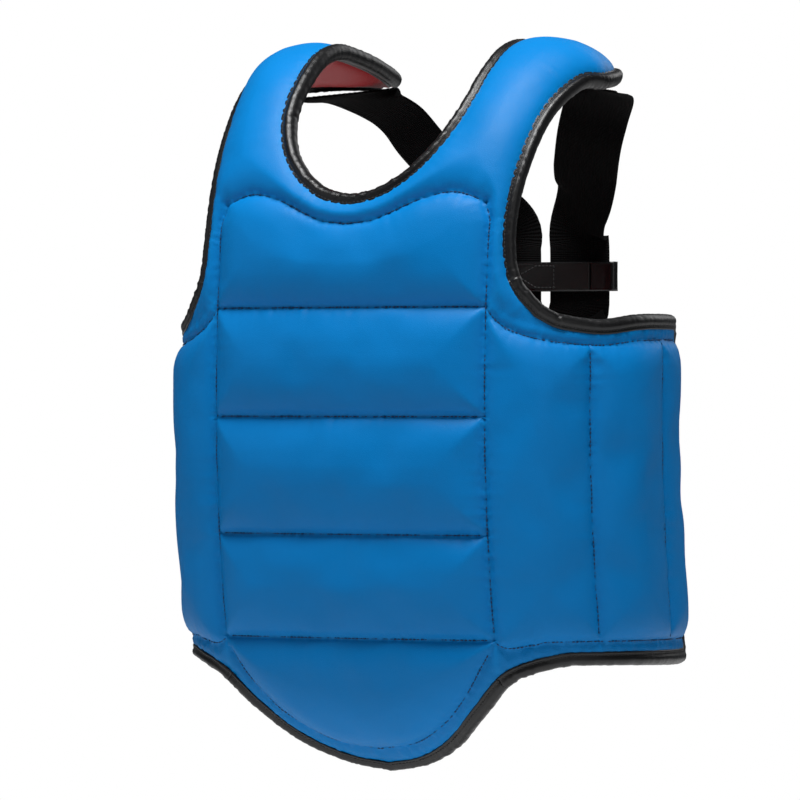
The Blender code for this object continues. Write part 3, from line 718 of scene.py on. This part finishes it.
LINING_DEPTH = 0.0188
red_leather = leather(
    "red_leather", (0.42, 0.004, 0.010), (0.55, 0.05, 0.05), roughness=0.40, pebble=0.0010,
    bump=0.0002, shine=0.3)
inner_layer = sewn_layer(21.0, LINING_DEPTH, -1, swell=False)


def lining(name, chosen, replaced):
    made = leather_piece(name, inner_layer, chosen, COVER_THICKNESS)
    dressed(made, red_leather)
    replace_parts(made, replaced)
    return made


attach(lining("front_lining_leather", on_front, "front_lining"), "front")
bends_with_flap(lining("flap_lining_leather", on_flap, "flap_lining"))
for way, suffix in WINGS:
    made = lining(f"wing_lining_leather_{suffix}", on_wing(way), f"wing_lining_{suffix}")
    bends_with_wing(made)

# ------------------------
# Stitching: navy bonded thread, a lockstitch every 3 mm, lying at the bottom of each seam on the
# blue side and again on the lining.

STITCH_PITCH = 0.0031
STITCH_LENGTH = 0.0023
THREAD_WIDTH = 0.0009
THREAD_RINGS, THREAD_SIDES = 5, 6


def thread_material(name, dark, light):
    made, tree, shader = new_material(name)
    twist = joined(tree, "ShaderNodeTexNoise", Scale=1800.0, Detail=1.0)
    feed(shader, Base_Color=color_mix(tree, twist.outputs["Fac"], dark, light), Roughness=0.6)
    return made


navy_thread = thread_material("navy_thread", (0.001, 0.010, 0.045), (0.004, 0.035, 0.120))


def stitch_form():
    """One stitch: a short rounded strand along X, with its faces."""
    turns = np.linspace(0, math.pi, THREAD_RINGS + 2)[1:-1]
    around = np.linspace(0, 2 * math.pi, THREAD_SIDES, endpoint=False)
    points = [(-0.5, 0, 0)]
    for turn in turns:
        reach = 0.5 * math.sin(turn) ** 0.6
        points += [
            (-0.5 * math.cos(turn), reach * math.cos(a), reach * math.sin(a)) for a in around]
    points.append((0.5, 0, 0))
    faces = []
    for side in range(THREAD_SIDES):
        after = (side + 1) % THREAD_SIDES
        faces.append((0, 1 + after, 1 + side))
        for ring in range(THREAD_RINGS - 1):
            low, high = 1 + ring * THREAD_SIDES, 1 + (ring + 1) * THREAD_SIDES
            faces.append((low + side, low + after, high + after, high + side))
        last = 1 + (THREAD_RINGS - 1) * THREAD_SIDES
        faces.append((last + side, last + after, len(points) - 1))
    return np.array(points), faces


STITCH_POINTS, STITCH_FACES = stitch_form()


def stitches(name, runs, material):
    """All the stitches along runs of (points, normals), as one object."""
    points, faces = [], []
    for places, normals in runs:
        ways = unit(np.gradient(places, axis=0))
        sides = np.cross(normals, ways)
        for place, way, side, normal in zip(places, ways, sides, normals):
            start = len(points) * len(STITCH_POINTS)
            points.append(
                place + STITCH_POINTS[:, :1] * STITCH_LENGTH * way
                + STITCH_POINTS[:, 1:2] * THREAD_WIDTH * side
                + STITCH_POINTS[:, 2:] * THREAD_WIDTH * normal)
            faces += [tuple(corner + start for corner in face) for face in STITCH_FACES]
    mesh = bpy.data.meshes.new(name)
    mesh.from_pydata(np.vstack(points).tolist(), [], faces)
    mesh.shade_smooth()
    return dressed(placed(name, mesh), material)


def seam_run(line, outer):
    """Stitch places along a seam, at the bottom of its fold, on the blue side or the lining."""
    spots = spaced(line, STITCH_PITCH)[1:-1]
    drawn = quilt(spots, 0)
    lift = THREAD_WIDTH * 0.25
    depth = drawn - lift if outer else LINING_DEPTH - drawn + lift
    normals = face_normals(spots)
    return layer_points(spots, depth), normals if outer else -normals


def seam_threads(name, part):
    """The thread of one piece's seams, on both sides."""
    runs = [seam_run(line, outer) for line in SEAMS.lines[part] for outer in (True, False)]
    return stitches(name, runs, navy_thread)


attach(seam_threads("front_stitching", "front"), "front")
bends_with_flap(seam_threads("flap_stitching", "flap"))
for way, suffix in WINGS:
    bends_with_wing(seam_threads(f"wing_stitching_{suffix}", suffix))

# ------------------------
# Edge bindings: a strip of black coated leather folded over every raw edge and sewn through near
# its lip. It stands as a rolled ridge and ripples where the edge curves in.

MID_DEPTH = 0.010
BINDING_FRONT = (  # reach past the edge, and depth under the outer face, from the lip outward
    (-0.0026, 0.0058), (-0.0023, 0.0049), (-0.0013, 0.0046), (-0.0003, 0.0051), (0.0005, 0.0050),
    (0.0018, 0.0041), (0.0034, 0.0037), (0.0052, 0.0040), (0.0069, 0.0053), (0.0082, 0.0074),
)
BINDING_FORM = (
    *BINDING_FRONT, (0.0088, MID_DEPTH),
    *((reach, 2 * MID_DEPTH - depth) for reach, depth in BINDING_FRONT[::-1]),
    (-0.0010, 0.0120), (-0.0006, MID_DEPTH), (-0.0010, 0.0080),
)
LIP_DIPS = (0.00505, 0.01495)  # depths of the dip beside the lip, on the blue side and the lining
SEWN_REACH = 0.0001
RIPPLE = 0.00018
RIPPLE_LENGTH, FINE_RIPPLE_LENGTH = 0.0050, 0.0021
TIGHT_BEND, MOST_TIGHT = 14, 1.6
BINDING_STEP = 0.0016
black_leather = leather(
    "black_leather", (0.004, 0.004, 0.0045), (0.02, 0.02, 0.021), roughness=0.32, pebble=0.0008,
    bump=0.00014, shine=0.45)
black_thread = thread_material("black_thread", (0.004, 0.004, 0.005), (0.030, 0.030, 0.032))


def ring_skin(name, rings, closed=False):
    """Smooth skin through rings of points, either capped at its two ends or joined into a loop."""
    rings = np.array(rings)
    count, around = rings.shape[:2]
    index = np.arange(count * around).reshape(count, around)
    following = np.roll(index, -1, axis=0) if closed else index[1:]
    faces = [
        (row[j], row[(j + 1) % around], after[(j + 1) % around], after[j])
        for row, after in zip(index.tolist(), following.tolist()) for j in range(around)]
    if not closed:
        faces += [tuple(index[0][::-1].tolist()), tuple(index[-1].tolist())]
    mesh = bpy.data.meshes.new(name)
    mesh.from_pydata(rings.reshape(-1, 3).tolist(), [], faces)
    skin = bmesh.new()
    skin.from_mesh(mesh)
    bmesh.ops.recalc_face_normals(skin, faces=skin.faces)
    if skin.calc_volume(signed=True) < 0:
        bmesh.ops.reverse_faces(skin, faces=skin.faces)
    skin.to_mesh(mesh)
    skin.free()
    mesh.shade_smooth()
    return placed(name, mesh)


def beside(line, outward):
    """Unit vectors across a pattern line. `outward` is 1 or -1, the side that its edge faces."""
    ways = unit(np.gradient(line, axis=0))
    return np.stack([ways[:, 1], -ways[:, 0]], axis=1) * outward


def bound(name, edge, outward, seed):
    """Binding folded over an edge of the pattern."""
    edge = spaced(edge, BINDING_STEP)
    away = beside(edge, outward)
    marks = run_lengths(edge)
    bend = np.linalg.norm(np.gradient(away, axis=0), axis=1) / BINDING_STEP
    tight = 1 + np.clip(bend / TIGHT_BEND, 0, MOST_TIGHT)
    rings = []
    for number, (reach, depth) in enumerate(BINDING_FORM):
        wave = np.array([
            noise.noise(Vector((mark / RIPPLE_LENGTH, number * 0.16, seed)))
            + 0.7 * noise.noise(Vector((mark / FINE_RIPPLE_LENGTH, number * 0.3, seed + 5)))
            for mark in marks
        ])
        lift = RIPPLE * tight * wave * (1.5 if reach > 0 else 0.7)
        rings.append(layer_points(edge + away * (reach + lift)[:, None],
                                  depth + lift * (-1 if depth < MID_DEPTH else 1)))
    obj = ring_skin(name, np.swapaxes(np.array(rings), 0, 1))
    return dressed(obj, black_leather)


def binding_threads(name, edge, outward):
    """The binding's own stitching, on both faces, in the dip beside its lip."""
    spots = spaced(edge, STITCH_PITCH)[1:-1]
    spots = spots + beside(spots, outward) * SEWN_REACH
    normals = face_normals(spots)
    runs = [(layer_points(spots, dip), normals * way) for dip, way in zip(LIP_DIPS, (1, -1))]
    return stitches(name, runs, black_thread)


END_OVERLAP = 0.003
neck_line = both_halves(neck_edge[:-1])
shoulder_line = armhole_edge[armhole_edge[:, 1] > CUT_HIGH[1] - END_OVERLAP][1:]
armhole_low = armhole_edge[armhole_edge[:, 1] <= CUT_HIGH[1]]
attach(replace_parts(bound("neck_edging", neck_line, -1, 31), "neck_binding"), "front")
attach(binding_threads("neck_edging_stitching", neck_line, -1), "front")
for way, suffix in WINGS:
    line = shoulder_line * (way, 1)
    edging = bound(f"armhole_edging_{suffix}", line, -way, 33 + way)
    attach(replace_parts(edging, f"armhole_binding_{suffix}"), "front")
    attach(binding_threads(f"armhole_edging_stitching_{suffix}", line, -way), "front")
    line = np.vstack([armhole_low[:-1], wing_edge]) * (way, 1)
    edging = bound(f"wing_edging_{suffix}", line, -way, 37 + way)
    bends_with_wing(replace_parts(edging, f"wing_binding_{suffix}"))
    bends_with_wing(binding_threads(f"wing_edging_stitching_{suffix}", line, -way))
flap_line = both_halves(flap_hem)
bends_with_flap(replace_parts(bound("flap_edging", flap_line, 1, 41), "flap_binding"))
bends_with_flap(binding_threads("flap_edging_stitching", flap_line, 1))

# ------------------------
# Foam: grey closed-cell slabs that fill the channels, shut in between cover and lining. The slab
# next to a hinge seam is replaced by a copy of itself; the others stay as imported.

foam, tree, shader = new_material("closed_cell_foam")
cells = joined(tree, "ShaderNodeTexVoronoi", Scale=900.0)
# Painted shade: the grey darkens towards each cell's middle, where the bump sinks into a pore, and
# is lightest on the raised cell walls.
pore_shaded_grey = joined(
    tree, "ShaderNodeMapRange", Value=cells.outputs["Distance"], To_Min=0.12, To_Max=0.28)
pores = joined(tree, "ShaderNodeBump", Height=cells.outputs["Distance"], Distance=0.0003)
feed(shader, Base_Color=pore_shaded_grey.outputs["Result"], Normal=pores.outputs["Normal"], Roughness=0.9)
for name, node in frame["nodes"].items():
    if "_pad" in name:
        coated(node, foam)


def bending_slab(node_name):
    """Copy of a slab that takes its place."""
    node = frame["nodes"][node_name]
    slab = placed(node_name + "_slab", node.data.copy())
    slab.matrix_world = node.matrix_world
    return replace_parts(slab, node_name)


bends_with_flap(bending_slab("abdomen_pad"))
for way, suffix in WINGS:
    bends_with_wing(bending_slab(f"wing_pad_{suffix}_1"))

# ------------------------
# Back straps: 50 mm black woven elastic, ribbed along its length, sewn under each shoulder's tip
# and running through the sleeve to the wing on its own side. Its last stretch is sewn to the hook
# tab and lifts with it.

ELASTIC_WIDTH, ELASTIC_THICKNESS = 0.050, 0.0018
SHOULDER_SPOTS = ((0.112, 0.402), (0.105, 0.424))
SHOULDER_SLANT = 1.18  # the strap is cut along the shoulder tip's slanted edge
SLANTED_RINGS = 14
STRAP_ROUTE = (
    (0.083, 0.103, 0.216), (0.069, 0.118, 0.193), (0.047, 0.151, 0.158), (0.0295, 0.1775, 0.134),
    (0.029, 0.1798, 0.118), (0.029, 0.180, 0.097), (0.029, 0.1798, 0.076), (0.0295, 0.1775, 0.058),
    (0.070, 0.145, 0.018), (0.103, 0.116, -0.022), (0.126, 0.090, -0.050),
)
FASTENING_SPOTS = ((0.333, -0.074), (0.305, -0.080), (0.280, -0.083))
STRAP_UNDER, STRAP_INSIDE = 0.0234, 0.0277
STRAP_FACINGS = ((0.25, 0.2, 1), (0.1, 0.6, 0.8), (0, 1, 0), (0, 1, 0), (0.88, 0.47, 0))
FACING_MARKS = (0, 0.22, 0.29, 0.62, 0.86)
STRAP_STEP = 0.003
RIBS = 20


def elastic_material():
    made, tree, shader = new_material("ribbed_elastic")
    place = tree.nodes.new("ShaderNodeUVMap").outputs["UV"]
    ribs = joined(tree, "ShaderNodeTexWave", Vector=place, Scale=160.0, Distortion=0.4)
    ribs.bands_direction = "X"
    picks = joined(tree, "ShaderNodeTexWave", Vector=place, Scale=230.0, Distortion=0.8)
    picks.bands_direction = "Y"
    weave = joined(tree, "ShaderNodeMath", "MULTIPLY_ADD", _0=ribs.outputs["Fac"], _1=0.65,
                   _2=picks.outputs["Fac"])
    # Painted shade: the colour is darker down in the weave's grooves and lighter on its raised
    # ribs, from the same height that drives the bump.
    color = color_mix(tree, weave.outputs[0], (0.0004, 0.0004, 0.0005), (0.003, 0.003, 0.0033))
    raised = joined(tree, "ShaderNodeBump", Height=weave.outputs[0], Distance=0.0004)
    feed(shader, Base_Color=color, Normal=raised.outputs["Normal"], Roughness=0.85,
         Specular_IOR_Level=0.08, Sheen_Weight=0.008)
    return made


ribbed_elastic = elastic_material()


def strap_line(way):
    """Middle line of one strap, and the way its outer face looks along it."""
    path = spaced(smooth_curve(np.vstack([
        layer_points(SHOULDER_SPOTS, STRAP_UNDER), STRAP_ROUTE,
        layer_points(FASTENING_SPOTS, STRAP_INSIDE)])), STRAP_STEP)
    shares = np.linspace(0, 1, len(path))
    facing = np.stack([
        np.interp(shares, FACING_MARKS, [side[axis] for side in STRAP_FACINGS]) for axis in range(3)
    ], axis=1)
    return path * (way, 1, 1), facing * (way, 1, 1)


def webbing(name, path, facing, slant=0.0):
    """Flat woven strap with rounded selvedges and low ribs, with a map for its weave. Its first end
    may be cut at a slant."""
    ways = unit(np.gradient(path, axis=0))
    sides = unit(np.cross(ways, facing))
    tops = np.cross(sides, ways)
    half = ELASTIC_WIDTH / 2
    columns = np.linspace(-half, half, RIBS * 2 + 1)
    rib = ELASTIC_THICKNESS * (0.42 + 0.08 * np.cos(np.arange(len(columns)) * math.pi))
    rib[[0, -1]] *= 0.35
    around = [(x, h) for x, h in zip(columns, rib)] + [(x, -h) for x, h in zip(columns[::-1], rib)]
    leans = slant * np.clip(1 - np.arange(len(path)) / SLANTED_RINGS, 0, 1)
    rings = [
        [at + (side + way * lean) * x + top * h for x, h in around]
        for at, side, way, top, lean in zip(path, sides, ways, tops, leans)]
    obj = ring_skin(name, rings)
    lengths = run_lengths(path)
    layer = obj.data.uv_layers.new(name="weave")
    for loop in obj.data.loops:
        ring, spot = divmod(loop.vertex_index, len(around))
        layer.data[loop.index].uv = (around[spot][0] + half, lengths[ring])
    return dressed(obj, ribbed_elastic)


for way, suffix in WINGS:
    path, facing = strap_line(way)
    hinge = next(
        joint["pos_m"] for joint in frame["record"]["behaviour"]["joints"]
        if joint["name"] == f"hook_{suffix}_peel")
    fold = int(np.argmin(np.linalg.norm((path - hinge)[:, :2], axis=1)))
    strap = webbing(
        f"elastic_strap_{suffix}", path[:fold + 1], facing[:fold + 1], -way * SHOULDER_SLANT)
    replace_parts(strap, f"back_elastic_{suffix}")
    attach(webbing(f"elastic_end_{suffix}", path[fold:], facing[fold:]), f"hook_{suffix}")
    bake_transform(strap)

# ------------------------
# Strap sleeve: a band of glossy black coated leather folded round both straps at mid back, closed
# by a pointed tongue that is box-stitched on the wearer's side.

SLEEVE_HEIGHT, SLEEVE_WALL = 0.022, 0.0016
SLEEVE_EDGE = 0.0004
SLEEVE_WAVE = 0.015  # how much its flat faces wave, as a share of their distance from the middle
glossy_leather = leather(
    "glossy_leather", (0.003, 0.003, 0.0035), (0.01, 0.01, 0.01), roughness=0.20, pebble=0.0014,
    bump=0.00010, shine=0.3, coat=0.3)
sleeve_low, sleeve_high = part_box("keeper_sleeve")
sleeve_mid = (sleeve_low + sleeve_high) / 2
sleeve_half = (sleeve_high.x - sleeve_low.x) / 2
sleeve_gap = (sleeve_high.y - sleeve_low.y) / 2


def sleeve_ring(inset, height):
    """Flattened loop at one height of the sleeve."""
    turns = np.linspace(-math.pi / 2, math.pi / 2, 9)
    reach = sleeve_gap - inset
    straight = sleeve_half - sleeve_gap
    right = [(straight + reach * math.cos(a), reach * math.sin(a)) for a in turns]
    span = np.linspace(straight, -straight, 26)[1:-1]
    left = [(-x, -y) for x, y in right]
    loop = right + [(x, reach) for x in span] + left + [(-x, -reach) for x in span]
    waves = [noise.noise(Vector((x / 0.02, y * 90, height * 60))) for x, y in loop]
    return [
        (sleeve_mid.x + x, sleeve_mid.y + y * (1 + SLEEVE_WAVE * wave), height)
        for (x, y), wave in zip(loop, waves)]


sleeve_profile = (  # distance in from the outer face, and share of the height
    (SLEEVE_EDGE, 0.0), (0.0, 0.0006), (0.0001, 0.10), (0.0002, 0.5), (0.0001, 0.90), (0.0, 0.9994),
    (SLEEVE_EDGE, 1.0), (SLEEVE_WALL - SLEEVE_EDGE, 1.0), (SLEEVE_WALL, 0.98), (SLEEVE_WALL, 0.02),
    (SLEEVE_WALL - SLEEVE_EDGE, 0.0),
)
sleeve_rings = np.array([
    sleeve_ring(inset, sleeve_low.z + share * SLEEVE_HEIGHT) for inset, share in sleeve_profile])
sleeve = ring_skin("sleeve_band", np.swapaxes(sleeve_rings, 0, 1), closed=True)
dressed(sleeve, glossy_leather)
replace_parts(sleeve, "keeper_sleeve")
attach(sleeve, "keeper")

TONGUE = (  # distance across, and share of the tongue's half height
    (0.040, -1), (-0.004, -1), (-0.014, -0.75), (-0.027, 0.05), (-0.014, 0.80), (-0.004, 1),
    (0.040, 1),
)
BOX_STITCH = (
    (0.010, -0.8), (-0.005, -0.8), (-0.021, 0.05), (-0.005, 0.8), (0.010, 0.8), (0.010, -0.8),
)
TONGUE_WALL, TONGUE_GAP = 0.0014, 0.0001
TONGUE_HALF = SLEEVE_HEIGHT * 0.46
form = bmesh.new()
face = form.faces.new([form.verts.new((x, 0, share * TONGUE_HALF)) for x, share in TONGUE])
grown = bmesh.ops.extrude_face_region(form, geom=[face])["geom"]
raised = [item for item in grown if isinstance(item, bmesh.types.BMVert)]
bmesh.ops.translate(form, verts=raised, vec=(0, -TONGUE_WALL, 0))
bmesh.ops.recalc_face_normals(form, faces=form.faces)
bmesh.ops.bevel(form, geom=form.edges[:], offset=SLEEVE_EDGE, segments=3, affect="EDGES")
mesh = bpy.data.meshes.new("sleeve_tongue")
form.to_mesh(mesh)
form.free()
tongue = placed("sleeve_tongue", mesh)
tongue.location = (sleeve_mid.x, sleeve_low.y - TONGUE_GAP, sleeve_mid.z)
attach(dressed(tongue, glossy_leather), "keeper")
box_line = spaced([
    (sleeve_mid.x + x, sleeve_low.y - TONGUE_WALL - TONGUE_GAP, sleeve_mid.z + share * TONGUE_HALF)
    for x, share in BOX_STITCH], STITCH_PITCH)
box_run = (box_line, np.tile((0.0, -1.0, 0.0), (len(box_line), 1)))
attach(stitches("sleeve_stitching", [box_run], black_thread), "keeper")

# ------------------------
# Hook and loop: a black pile patch sewn inside each wing, and the tab of stiffer black hooks on
# the strap's end that grips it.


def tape_material(name, size, height, tone):
    """Tufts of a given size and height, with painted shade that darkens the colour down between
    them.
    """
    made, tree, shader = new_material(name)
    tufts = joined(tree, "ShaderNodeTexVoronoi", Scale=1 / size)
    # Painted shade: the colour darkens away from each tuft's middle, down into the gaps where the
    # bump sinks.
    color = joined(tree, "ShaderNodeMapRange", Value=tufts.outputs["Distance"], To_Min=tone,
                   To_Max=tone * 0.3)
    raised = joined(tree, "ShaderNodeBump", Height=tufts.outputs["Distance"], Distance=height)
    raised.invert = True
    feed(shader, Base_Color=color.outputs["Result"], Normal=raised.outputs["Normal"],
         Roughness=0.95, Sheen_Weight=0.4)
    return made


loop_pile = tape_material("loop_pile", 0.0011, 0.0006, 0.022)
hook_tape = tape_material("hook_tape", 0.0015, 0.0008, 0.016)
for way, suffix in WINGS:
    coated(frame["nodes"][f"loop_patch_{suffix}"], loop_pile)
    coated(frame["nodes"][f"hook_tab_{suffix}"], hook_tape)

# ------------------------
# Studio: the camera, a plain pale floor, one broad soft light above the front, and weak fills
# from both sides and behind.

CAMERA_AZIMUTH = math.radians(29.4)
CAMERA_DISTANCE = 5.0
CAMERA_LENS = 316.0
CAMERA_RISE = 0.0017
AIM_ASIDE, AIM_HEIGHT = 0.0452, 0.0050
sine, cosine = math.sin(CAMERA_AZIMUTH), math.cos(CAMERA_AZIMUTH)
aim = Vector((cosine * AIM_ASIDE, sine * AIM_ASIDE - FRONT_REACH, AIM_HEIGHT))
away = Vector((sine, -cosine, CAMERA_RISE))
camera = placed("camera", bpy.data.cameras.new("camera"))
camera.data.lens = CAMERA_LENS
camera.location = aim + away * CAMERA_DISTANCE
camera.rotation_euler = away.to_track_quat("Z", "Y").to_euler()
camera.data.clip_end = 50
bpy.context.scene.camera = camera

FLOOR_HEIGHT = -0.60
FLOOR_RADIUS = 4.2
bpy.ops.mesh.primitive_circle_add(
    vertices=96, radius=FLOOR_RADIUS, fill_type="NGON", location=(0, 0, FLOOR_HEIGHT))
floor = bpy.context.object
floor.name = "floor"
paper, tree, shader = new_material("paper")
feed(shader, Base_Color=(0.9, 0.9, 0.9, 1), Roughness=0.95)
floor.data.materials.append(paper)


def soft_light(name, place, size, power):
    """Broad light that faces the middle of the guard."""
    lamp = placed(name, bpy.data.lights.new(name, "AREA"))
    lamp.data.shape = "RECTANGLE"
    lamp.data.size, lamp.data.size_y = size
    lamp.data.energy = power
    lamp.location = place
    lamp.rotation_euler = Vector(place).to_track_quat("Z", "Y").to_euler()


soft_light("overhead", (0.26, -0.68, 2.35), (1.5, 1.0), 93)
soft_light("left_fill", (-2.4, -2.2, 0.9), (1.6, 1.6), 6)
soft_light("right_fill", (2.8, -1.2, 0.8), (1.4, 1.8), 6)
soft_light("back_fill", (0.4, 2.8, 1.4), (1.8, 1.4), 9)

sky = bpy.data.worlds.new("studio")
bpy.context.scene.world = sky
sky.use_nodes = True
air = sky.node_tree
seen = air.nodes.new("ShaderNodeLightPath").outputs["Is Camera Ray"]
white = joined(air, "ShaderNodeBackground", Color=(1, 1, 1, 1), Strength=1.0)
dim = joined(air, "ShaderNodeBackground", Color=(0.92, 0.96, 1.0, 1), Strength=0.08)
pick = joined(air, "ShaderNodeMixShader", _0=seen, _1=dim.outputs[0], _2=white.outputs[0])
feed(air.nodes["World Output"], Surface=pick.outputs[0])
bpy.context.scene.view_settings.view_transform = "Standard"
